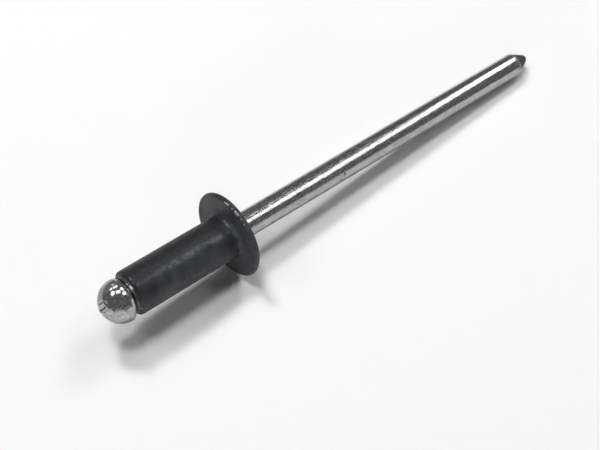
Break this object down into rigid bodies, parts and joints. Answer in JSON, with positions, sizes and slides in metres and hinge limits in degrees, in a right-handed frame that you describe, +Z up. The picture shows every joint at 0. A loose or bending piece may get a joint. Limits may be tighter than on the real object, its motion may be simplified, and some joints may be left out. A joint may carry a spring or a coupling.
{
  "type": "blind rivet",
  "caption": "Open-end blind rivet before setting: a black flanged tubular shell on a bright steel pulling mandrel with a domed head and a tapered tail.",
  "frame": {"origin": "on the table that the rivet lies on, under the middle of its whole length", "axes": "+X along the table from the mandrel's head towards its tail, +Z up from the table, +Y across"},
  "size_m": [0.0406, 0.0062, 0.0062],
  "materials": {
    "black_paint": "satin",
    "zinc_plated_steel": "polished"
  },
  "bodies": {
    "root": {"rivet_body": "black_paint", "mandrel": "zinc_plated_steel"}
  },
  "joints": []
}
